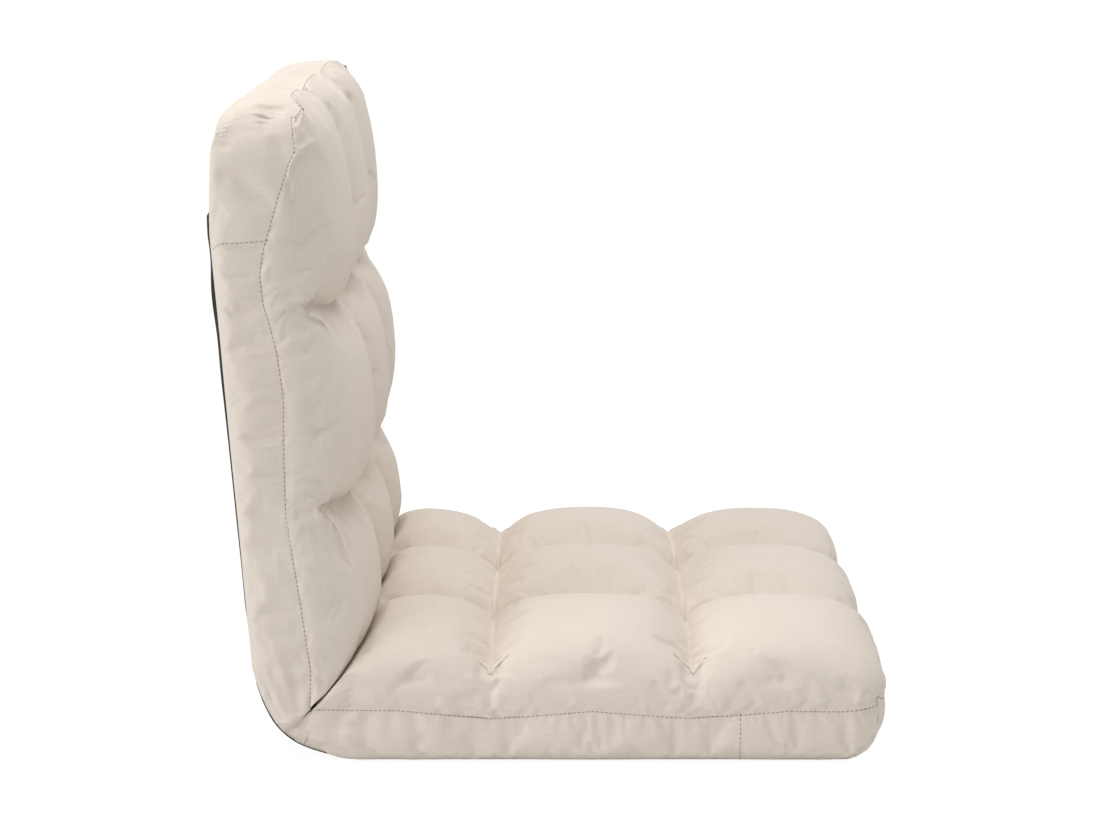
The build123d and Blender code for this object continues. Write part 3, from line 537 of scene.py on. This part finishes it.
def blown_up(name, points, held, growth, pressure, frames, cap):
    """The cover after its filling pushes it out: sewn points stay, and nothing moves past the cap."""
    columns, rows = points.shape[:2]
    count = columns * rows
    rim = [i * rows + j for i, j in rim_of(columns, rows)]
    below = points.reshape(-1, 3)[rim].mean(0) - np.array((0, 0, 0.03))
    faces = list(grid_faces(columns, rows)) + [(b, a, count) for a, b in zip(rim, rim[1:] + rim[:1])]
    piece = add_mesh(name, np.vstack((points.reshape(-1, 3), below)), faces)
    group = piece.vertex_groups.new(name="sewn")
    weights = np.append(held.reshape(-1), 1.0)
    for level in np.unique(weights[weights > 0]):
        group.add(np.nonzero(weights == level)[0].tolist(), float(level), "REPLACE")
    cloth = piece.modifiers.new("cloth", "CLOTH")
    for setting, value in dict(
            quality=5, mass=0.25, tension_stiffness=18, compression_stiffness=18, shear_stiffness=7,
            bending_stiffness=0.6, tension_damping=6, compression_damping=6, shear_damping=6, air_damping=2.0,
            use_pressure=True, uniform_pressure_force=pressure, shrink_min=-growth, vertex_group_mass="sewn",
            pin_stiffness=6).items():
        setattr(cloth.settings, setting, value)
    cloth.settings.effector_weights.gravity = 0
    cloth.collision_settings.use_collision = False
    cloth.point_cache.frame_start, cloth.point_cache.frame_end = 1, frames
    for number in range(1, frames + 1):
        scene.frame_set(number)
    made = piece.evaluated_get(bpy.context.evaluated_depsgraph_get()).to_mesh()
    moved = np.array([v.co for v in made.vertices])[:count].reshape(points.shape)
    scene.frame_set(1)
    bpy.data.objects.remove(piece)
    shift = moved - points
    size = np.linalg.norm(shift, axis=-1, keepdims=True)
    return points + shift * np.minimum(1, cap / (size + 1e-9))


def outside(half, points, inset, top, first, lifts=True):
    """Moves any cloth that would lie inside the foam out to its nearest face.

    The foam is the pad's lower form, this far inside it and up to one height, and it begins
    at a distance from the hinge. Strips are only moved outwards, and never lifted over it."""
    end, turn, slope = (0.528, 0.045, 0.0) if half == "seat" else (0.556, 0.044, 0.1313)
    end, turn = end - inset, turn - inset
    for _ in range(3):
        a, y, h = points[..., 0], np.abs(points[..., 1]), points[..., 2]
        flat = UNDERSIDE + inset
        under = flat + slope * np.maximum(a - HEAD_START, 0) + 0.013 * np.clip(1 - a / 0.048, 0, 1)
        far_under = flat + slope * (end - turn - HEAD_START) + turn * math.hypot(1, slope)
        edge = CORNER - inset
        plan = PADS[half]["foam_corner"] - inset
        faces = []
        for p, q, radius in (
                (y - (HALF_WIDTH - inset - edge), flat + edge - h, edge),
                (a - (end - turn), np.where(a > end - turn, far_under, under + turn) - h, turn),
                (y - (HALF_WIDTH - inset - plan), a - (end - plan), plan)):
            both = (p > 0) & (q > 0)
            size = np.hypot(p, q) + 1e-12
            faces.append((np.where(both, size, np.maximum(p, q)) - radius,
                          np.where(both, p / size, p >= q), np.where(both, q / size, p < q)))
        depth = np.stack([face[0] for face in faces] + [h - top if lifts else np.full(h.shape, -1.0)])
        inside = (depth.max(0) < 0) & (a > first) & (h < top)
        nearest = depth.argmax(0)
        move = np.zeros_like(points)
        for number, (first_axis, second_axis, sign) in enumerate(((1, 2, -1), (0, 2, -1), (1, 0, 1))):
            gap, go_p, go_q = faces[number]
            here = inside & (nearest == number)
            move[..., first_axis] += np.where(here, -gap * go_p, 0)
            move[..., second_axis] += np.where(here, -gap * go_q * sign, 0)
        move[..., 1] *= np.sign(points[..., 1])
        move[..., 2] += np.where(inside & (nearest == 3), -depth[3], 0)
        points = points + move
    return points


def clear_of_foam(half, points):
    """Quilted cloth kept clear of the upper foam with its backing, and of the base foam."""
    points = outside(half, points, inset=0.0084, top=0.0282, first=0.040)
    return outside(half, points, inset=0.0011, top=0.0102, first=0.020)


def from_crease(points):
    """How far points lie from the plane in which seat and back press together."""
    return points[..., 0] * math.sin(CREASE) - points[..., 2] * math.cos(CREASE)


def own_side(points, least):
    """Cloth kept on its own side of that plane."""
    return points + np.maximum(least - from_crease(points), 0)[..., None] * ACROSS_CREASE


def over_edges(half, points, laid):
    """Sides and far end of the quilted cloth, drawn in no further than the edge of the upper foam."""
    height = points[..., 2]
    room = np.interp(height, (0.0285, 0.0345, 0.054), (0.0078, 0.0115, 0.036))
    room = np.where(height < 0.0285, np.interp(height, (0.0105, 0.016), (0.0008, 0.0078)), room)
    a, y, reach = laid[..., 0], laid[..., 1], PADS[half]["reach"]
    by_side = np.abs(y) > 0.232
    by_end = a > reach - 0.036
    points = points.copy()
    wide = np.sign(y) * np.maximum(np.abs(points[..., 1]), HALF_WIDTH - room)
    points[..., 1] = np.where(by_side & ~by_end, wide, points[..., 1])
    points[..., 0] = np.where(by_end & ~by_side, np.maximum(points[..., 0], reach - 0.002 - room), points[..., 0])
    return points


def sewn_weights(points, rows, columns_at):
    """Where the cover is held while it is blown up: its rim, its channels and their crossings."""
    held = np.zeros(points.shape[:2])
    for i in columns_at:
        held[i, 6:-4] = 0.9
    for j in rows:
        held[14:-14, j] = 0.9
    for i in columns_at:
        for j in rows:
            held[i - 1:i + 2, j - 1:j + 2] = 1.0
    held[0], held[-1], held[:, 0], held[:, -1] = 1, 1, 1, 1
    return held


linen = cloth_material("ivory_linen", (0.86, 0.785, 0.705), (0.73, 0.635, 0.545), threads=1150.0, slubs=0.55,
                       cloudiness=0.35, depth=0.35, sheen=0.08)


def smooth(mesh):
    """Shades a mesh smoothly."""
    mesh.polygons.foreach_set("use_smooth", [True] * len(mesh.polygons))


def laid_as_cloth(piece, cloth_at, material):
    """Gives a piece its cloth map, in metres along its threads, and smooth faces of one material."""
    mesh = piece.data
    layer = mesh.uv_layers.new(name="cloth")
    loops = np.empty(len(mesh.loops), int)
    mesh.loops.foreach_get("vertex_index", loops)
    layer.data.foreach_set("uv", cloth_at.reshape(-1, 2)[loops].astype(np.float32).reshape(-1))
    smooth(mesh)
    mesh.materials.append(material)


def follow_both(piece):
    """Bakes a piece's placement into its mesh."""
    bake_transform(piece)


def between(grid, axis):
    """A grid with a new point midway between each two, on a smooth curve through their neighbours."""
    grid = np.moveaxis(grid, axis, 0)
    ends = np.concatenate((2 * grid[:1] - grid[1:2], grid, 2 * grid[-1:] - grid[-2:-1]))
    middle = (9 * (ends[1:-2] + ends[2:-1]) - ends[:-3] - ends[3:]) / 16
    doubled = np.empty((2 * len(grid) - 1,) + grid.shape[1:])
    doubled[::2], doubled[1::2] = grid, middle
    return np.moveaxis(doubled, 0, axis)


def finer(grid):
    """A grid with its spacing halved both ways."""
    return between(between(grid, 0), 1)


seeded = np.random.default_rng(11)


def folds(at, wavelength):
    """Irregular gathers along a sewn line, between -1 and 1, from a few waves of uneven length."""
    total = np.zeros_like(at)
    for share in (0.7, 1.0, 1.45, 2.1):
        phase, drift = seeded.uniform(0, 2 * math.pi, 2)
        total += np.sin(2 * math.pi * at * share / wavelength + phase + 1.7 * np.sin(at * 23.0 + drift)) / share
    return total / 2.2


def puckered(points, cloth_at, rows, columns_at):
    """Fine gathers that run off each channel and off the side seam, where the thread draws the cloth in."""
    arc, run = cloth_at[..., 0], cloth_at[..., 1]
    normal = outwards(points, 2 * MID_ROW)
    lift = np.zeros(points.shape[:2])

    def gathers(at, away, reach, wavelength, size):
        here = np.where(away >= 0, np.exp(-away / reach) * bump_step(away, 0.0, 0.004), 0)
        uneven = 0.25 + 0.75 * bump_step(folds(at, 0.11), -0.2, 0.7)
        return folds(at + seeded.uniform(-0.5, 0.5) * away, wavelength) * here * uneven * size

    for index in rows:
        away = run - run[:, index:index + 1]
        lift += sum(gathers(arc, beside, reach=0.022, wavelength=0.019, size=0.0012) for beside in (away, -away))
    for index in columns_at:
        away = arc - arc[index:index + 1]
        lift += sum(gathers(run, beside, reach=0.017, wavelength=0.018, size=0.0009) for beside in (away, -away))
    for away in (arc - arc[:1], arc[-1:] - arc):
        lift += gathers(run, away, reach=0.024, wavelength=0.016, size=0.0012)
    lift += gathers(arc, run[:, -1:] - run, reach=0.022, wavelength=0.017, size=0.0012)
    lift *= bump_step(run, 0.015, 0.05)
    return points + normal * lift[..., None]


quilts, seams = {}, {}
for half in ("seat", "back"):
    points, cloth_at, rows, columns_at = quilt_grid(half)
    laid, reach = points, PADS[half]["reach"]
    points = blown_up(f"{half}_cloth", points, sewn_weights(points, rows, columns_at), growth=0.034, pressure=3.6,
                      frames=18, cap=0.013)
    a, y, slack = laid[..., 0], laid[..., 1], np.interp(laid[..., 2], (0.030, 0.060), (0.0012, 0.03))
    wide = np.sign(y) * np.maximum(np.abs(points[..., 1]), np.abs(y) - slack)
    points[..., 1] = np.where(np.abs(y) > 0.225, wide, points[..., 1])
    far = np.clip(points[..., 0], a - slack, reach + 0.001)
    points[..., 0] = np.where(a > reach - 0.035, far, points[..., 0])
    points = over_edges(half, points, laid)
    points = own_side(clear_of_foam(half, points), 0.0007)
    quilts[half] = (points, rows, columns_at)
    fine, fine_at = finer(points), finer(cloth_at)
    fine = clear_of_foam(half, puckered(fine, fine_at, [2 * j for j in rows], [2 * i for i in columns_at]))
    fine = own_side(fine, 0.0004)
    piece = add_mesh(f"{half}_quilted_cloth", placed(half, fine), grid_faces(*fine.shape[:2]))
    laid_as_cloth(piece, fine_at, linen)
    follow_both(piece)
    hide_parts(f"{half}_quilted_cover")

# ---- fibre filling ----
# Loose polyester fibre in each puff, shut in between the quilted cloth and its backing. Nine
# soft lumps in each half, one under each puff, that follow the shape of the cloth.
FILL_GAP = 0.003  # between the fibre and the quilted cloth
BACKING_TOP = 0.0276  # the upper face of the backing
FILL_SIDE = HALF_WIDTH - 0.0118  # how far out the fibre reaches at its foot
ROW_NAMES = {"seat": ("rear", "middle", "front"), "back": ("lower", "middle", "head")}
fibre, fibre_tree, fibre_shader = plain_material("white_fibre")
tufts = noise_node(fibre_tree, own_place(fibre_tree), 90.0, detail=6.0, roughness=0.7)
fibre_tree.links.new(tone(fibre_tree, (0.72, 0.72, 0.7, 1), (0.9, 0.9, 0.89, 1), tufts),
                     fibre_shader.inputs["Base Color"])
relief(fibre_tree, fibre_shader, tufts, strength=0.6, distance=0.002)
set_inputs(fibre_shader, Roughness=1.0)

for half in ("seat", "back"):
    points, rows, columns_at = quilts[half]
    inner = points - FILL_GAP * outwards(points)
    least = BACKING_TOP / math.tan(CREASE) + 0.005
    for row_name, first, last in zip(ROW_NAMES[half], [0] + rows, rows + [points.shape[1] - 1]):
        verts, faces = [], []
        for left, right in zip([0] + columns_at, columns_at + [len(points) - 1]):
            block = inner[left:right + 1:2, first:last + 1:2].copy()
            middle = block.reshape(-1, 3).mean(0)
            shrink = np.interp(block[..., 2:], (0.040, 0.050), (0.945, 0.985))
            block[..., :2] = middle[:2] + (block[..., :2] - middle[:2]) * shrink
            a, y, h = block[..., 0], block[..., 1], block[..., 2]
            a[:] = np.where(h < BACKING_TOP, np.maximum(a, least), a)
            low = h < 0.031
            y[:] = np.where(low, np.clip(y, -FILL_SIDE, FILL_SIDE), y)
            a[:] = np.where(low, np.minimum(a, PADS[half]["reach"] - 0.0145), a)
            h[:] = np.maximum(h, BACKING_TOP + 0.0004)
            flat = block.copy()
            flat[..., 2] = BACKING_TOP
            n, m = block.shape[:2]
            start = len(verts)
            verts += block.reshape(-1, 3).tolist() + flat.reshape(-1, 3).tolist()
            quads = grid_faces(n, m)
            faces += list(quads + start) + list(quads[:, ::-1] + start + n * m)
            rim = [i * m + j + start for i, j in rim_of(n, m)]
            faces += [(b, a, a + n * m, b + n * m) for a, b in zip(rim, rim[1:] + rim[:1])]
        piece = add_mesh(f"{half}_fibre_{row_name}", placed(half, np.array(verts)), faces)
        smooth(piece.data)
        piece.data.materials.append(fibre)
        follow_both(piece)
        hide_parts(f"{half}_fill_{row_name}")

# ---- side strips ----
# One plain strip of the same cloth round each half, sewn to the quilted cloth along the seam
# and turned under round the black panel. At the hips both strips are gathered to one point.
STRIP_STEPS = 16
LIP = 0.0160  # how far the strips are turned in underneath
HEEL = np.array(((-0.0184, -0.0197), (-0.006, -0.0286), (0.010, -0.0354), (0.028, -0.0402), (0.048, -0.0426),
                 (0.082, UNDERSIDE)))
PANEL_END = {"seat": 0.481, "back": 0.464}
END_TURN = {"seat": 0.046, "back": 0.071}
END_SQUARENESS = {"seat": 1.0, "back": 0.60}
HEAD_SLOPE = {"seat": 0.0, "back": 0.12}  # the head thins towards its top
HIP_GATHERS = 0.0009  # the height of the small folds that run from the hip
STRIP_ROOM = {"inset": 0.0005, "top": 0.0115, "first": 0.020, "lifts": False}
strips = {}


def head_rise(half, a):
    """How far the tapered head lifts the back's rear face."""
    return HEAD_SLOPE[half] * np.maximum(a - HEAD_START, 0)


for half in ("seat", "back"):
    points = quilts[half][0]
    n, m = points.shape[:2]
    rim = np.array(rim_of(n, m)[:2 - n])
    seam = points[rim[:, 0], rim[:, 1]]
    pinched = np.array((0.0, 1.0, 0.0))
    seams[half] = seam = np.vstack((seam[:1] * pinched, seam, seam[-1:] * pinched))
    reach = PADS[half]["reach"]
    end = PANEL_END[half]
    a, y, h = seam.T
    a_lip = np.interp(a, (0.0, 0.085, end - 0.05, reach), (HEEL[0, 0], 0.085, end - 0.05, end))
    y_lip = y * (HALF_WIDTH - LIP) / np.abs(y).max()
    h_lip = np.interp(a_lip, HEEL[:, 0], HEEL[:, 1])
    front = bump_step(a, reach - 0.035, reach - 0.004)[:, None]
    run = np.linspace(0, 1, STRIP_STEPS + 1)[None, :]
    deep = (h - h_lip)[:, None]
    turn = np.minimum(CORNER + (END_TURN[half] - CORNER) * front, 0.9 * deep)
    straight = deep - turn
    share = straight / (straight + 1.57 * turn)
    angle = np.clip((run - share) / (1 - share), 0, 1) * math.pi / 2
    square = 1 - (1 - END_SQUARENESS[half]) * front
    over = 1 - np.cos(angle) ** square
    drop = (np.minimum(run / share, 1) * straight + turn * np.sin(angle) ** square) / deep
    fan = (1 - bump_step(a, 0.02, 0.10))[:, None]
    strip_a = a[:, None] + (a_lip - a)[:, None] * (over * (1 - fan) + run * fan)
    strip_y = y[:, None] + (y_lip - y)[:, None] * over
    strip_h = h[:, None] + (h_lip - h)[:, None] * (drop * (1 - fan) + run * fan)
    swell = 0.0022 * np.sin(np.pi * np.clip(drop, 0, 1)) * (1 - front) * (1 - fan)
    strip_y += np.sign(y)[:, None] * swell
    strip = np.stack((strip_a, strip_y, strip_h), -1)
    cloth_at = np.stack((lengths(strip, 1), np.repeat(lengths(seam)[:, None], STRIP_STEPS + 1, 1)), -1)
    held = np.zeros(strip.shape[:2])
    held[:, :1] = held[:, -4:] = 1
    held[0], held[-1] = 1, 1
    strip = blown_up(f"{half}_strip_cloth", strip, held, growth=0.022, pressure=1.0, frames=14, cap=0.0028)
    strip[..., 0] = np.minimum(strip[..., 0], reach + 0.001)
    strip[..., 2] = np.maximum(strip[..., 2], UNDERSIDE + head_rise(half, strip[..., 0]))
    strip = own_side(strip, 0.0)
    strips[half] = strip = outside(half, strip, **STRIP_ROOM)
    strip, cloth_at = finer(strip), finer(cloth_at)
    a, h, down = strip[..., 0], strip[..., 2], cloth_at[..., 0] / cloth_at[:, -1:, 0]
    gathers = 1.6 + np.sin(2 * math.pi * (2.4 * down + 6 * a)) + 0.6 * np.sin(2 * math.pi * (4.1 * down - 11 * a) + 1)
    gathers *= bump_step(a, 0.003, 0.018) * (1 - bump_step(a, 0.030, 0.095)) * np.sin(math.pi * down)
    apart = from_crease(strip)
    below = bump_step(-a * math.cos(CREASE) - h * math.sin(CREASE), -0.001, 0.007)
    below *= 1 - bump_step(down, 0.70, 0.97)
    rolled = below * (2.6 * np.exp(-((apart - 0.0065) / 0.004) ** 2) - 5.0 * np.exp(-(apart / 0.003) ** 2))
    strip[..., 1] += np.sign(strip[..., 1]) * HIP_GATHERS * (1.3 * gathers + rolled)
    strip = outside(half, strip, **STRIP_ROOM)
    piece = add_mesh(f"{half}_side_cloth", placed(half, strip), grid_faces(*strip.shape[:2]))
    laid_as_cloth(piece, cloth_at, linen)
    follow_both(piece)
    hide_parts(f"{half}_side_strip")

# ---- black cloth ----
# Heavy black cloth in one piece: under the seat, round the heel of the hinge, and up behind
# the back as far as the head. It is sewn inside the turned-under edges of the side strips.
black = cloth_material("black_twill", (0.019, 0.019, 0.020), (0.006, 0.006, 0.0065), threads=900.0, slubs=0.25,
                       roughness=0.8, depth=0.5, sheen=0.03)
TUCK = 0.0010  # how far inside the strips' edges it is sewn
seat_run = np.stack((np.linspace(0.484, 0.095, 96), np.full(96, UNDERSIDE)), 1)
seat_path = np.vstack((seat_run, curve_through(HEEL[::-1], 26)[:-1]))
back_run = np.stack((np.linspace(0.095, 0.467, 92), np.full(92, UNDERSIDE)), 1)
back_path = np.vstack((curve_through(HEEL, 26)[1:], back_run))
across = np.linspace(-(HALF_WIDTH - LIP) - 0.003, HALF_WIDTH - LIP + 0.003, 64)
sheets = []
for half, path in (("seat", seat_path), ("back", back_path)):
    grid_a = np.repeat(path[None, :, 0], len(across), 0)
    grid_y = np.repeat(across[:, None], len(path), 1)
    bulge = bump_step(HALF_WIDTH - LIP + 0.002 - np.abs(across), 0.0, 0.012)[:, None] * np.interp(
        path[:, 0], (0.02, 0.05, 0.10, 0.25, 0.40, 0.460, 0.467),
        (0.0, 0.001, 0.0035, 0.0045, 0.0060, 0.0060, 0.0))[None, :]
    waves = folds(grid_a + 0.35 * grid_y, 0.21) * folds(grid_y - 0.2 * grid_a, 0.17) * 0.0018
    grid_h = np.repeat(path[None, :, 1], len(across), 0) + TUCK + head_rise(half, grid_a)
    if half == "back":
        grid_h = grid_h - np.maximum(bulge + waves * np.minimum(bulge / 0.0035, 1), 0)
    sheets.append(placed(half, np.stack((grid_a, grid_y, grid_h), -1)))
under = np.concatenate(sheets, axis=1)
run = lengths(under, 1)
cloth_at = np.stack((np.repeat(across[:, None], under.shape[1], 1), run), -1)
piece = add_mesh("black_under_cloth", under, grid_faces(*under.shape[:2])[:, ::-1])
laid_as_cloth(piece, cloth_at, black)
follow_both(piece)
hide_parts("seat_bottom_panel", "back_rear_panel", "heel_cloth")

# ---- seam stitching ----
# A row of brown thread stitches on each seam between quilted cloth and side strip, and on the
# joins of the strips beside the head and near the seat's front.
brown_thread, thread_tree, thread_shader = plain_material("brown_thread")
thread_tone = noise_node(thread_tree, own_place(thread_tree), 400.0)
thread_tree.links.new(tone(thread_tree, (0.20, 0.14, 0.10, 1), (0.42, 0.33, 0.25, 1), thread_tone),
                      thread_shader.inputs["Base Color"])
set_inputs(thread_shader, Roughness=0.8)

stitching, stitch_in, stitch_out = node_group(
    "row_of_stitches", "GeometryNodeTree",
    {"Seam": "Geometry", "Stitch Pitch": 0.0046, "Stitch Length": 0.0032, "Thread Radius": 0.0004,
     "Thread": "Material"},
    {"Stitches": "Geometry"})
to_curve = stitching.nodes.new("GeometryNodeMeshToCurve")
evenly = stitching.nodes.new("GeometryNodeResampleCurve")
evenly.mode = "LENGTH"
tangent = stitching.nodes.new("GeometryNodeInputTangent")
align = stitching.nodes.new("FunctionNodeAlignRotationToVector")
align.axis = "Z"
bead = new_node(stitching, "GeometryNodeMeshUVSphere", Segments=6, Rings=5, Radius=1.0)
size = stitching.nodes.new("ShaderNodeCombineXYZ")
half_length = math_node(stitching, "MULTIPLY", stitch_in["Stitch Length"], 0.5)
place_stitch = stitching.nodes.new("GeometryNodeInstanceOnPoints")
real = stitching.nodes.new("GeometryNodeRealizeInstances")
dye = stitching.nodes.new("GeometryNodeSetMaterial")
joined(stitching, (stitch_in["Seam"], to_curve.inputs["Mesh"]), (to_curve.outputs["Curve"], evenly.inputs["Curve"]),
       (stitch_in["Stitch Pitch"], evenly.inputs["Length"]), (evenly.outputs["Curve"], place_stitch.inputs["Points"]),
       (tangent.outputs["Tangent"], align.inputs["Vector"]),
       (align.outputs["Rotation"], place_stitch.inputs["Rotation"]),
       (bead.outputs["Mesh"], place_stitch.inputs["Instance"]),
       (half_length, size.inputs["Z"]), (stitch_in["Thread Radius"], size.inputs["X"]),
       (stitch_in["Thread Radius"], size.inputs["Y"]), (size.outputs[0], place_stitch.inputs["Scale"]),
       (place_stitch.outputs["Instances"], real.inputs["Geometry"]),
       (real.outputs["Geometry"], dye.inputs["Geometry"]),
       (stitch_in["Thread"], dye.inputs["Material"]), (dye.outputs["Geometry"], stitch_out["Stitches"]))


def stitched(name, lines, material, pitch, length, radius):
    """A mesh of thread stitches along some lines of points."""
    mesh = bpy.data.meshes.new(name)
    verts, edges = [], []
    for line in lines:
        edges += [(len(verts) + k, len(verts) + k + 1) for k in range(len(line) - 1)]
        verts += line.tolist()
    mesh.from_pydata(verts, edges, [])
    piece = put(bpy.data.objects.new(name, mesh))
    rows_of = piece.modifiers.new("stitches", "NODES")
    rows_of.node_group = stitching
    chosen = {"Stitch Pitch": pitch, "Stitch Length": length, "Thread Radius": radius, "Thread": material}
    for item in stitching.interface.items_tree:
        if item.in_out == "INPUT" and item.name in chosen:
            rows_of[item.identifier] = chosen[item.name]
    made = bpy.data.meshes.new_from_object(piece.evaluated_get(bpy.context.evaluated_depsgraph_get()))
    piece.modifiers.clear()
    piece.data = made
    smooth(made)
    bpy.data.meshes.remove(mesh)
    return piece


JOIN_AT = {"seat": 0.397, "back": 0.438}
PROUD = 0.0002  # how far the thread stands off the cloth
for half in ("seat", "back"):
    seam, strip = seams[half], strips[half]
    drawn = seam.copy()
    drawn[:, 2] -= 2 * PROUD
    drawn[:, 1] += np.sign(drawn[:, 1]) * PROUD
    lines = [placed(half, drawn[6:-6])]
    for side in (slice(0, len(seam) // 3), slice(2 * len(seam) // 3, len(seam))):
        column = side.start + int(np.argmin(np.abs(seam[side, 0] - JOIN_AT[half])))
        join = strip[column, :-3].copy()
        join[:, 1] += np.sign(join[:, 1]) * PROUD
        lines.append(placed(half, join))
    piece = stitched(f"{half}_seam_stitches", lines, brown_thread, pitch=0.0042, length=0.0030, radius=0.00034)
    follow_both(piece)
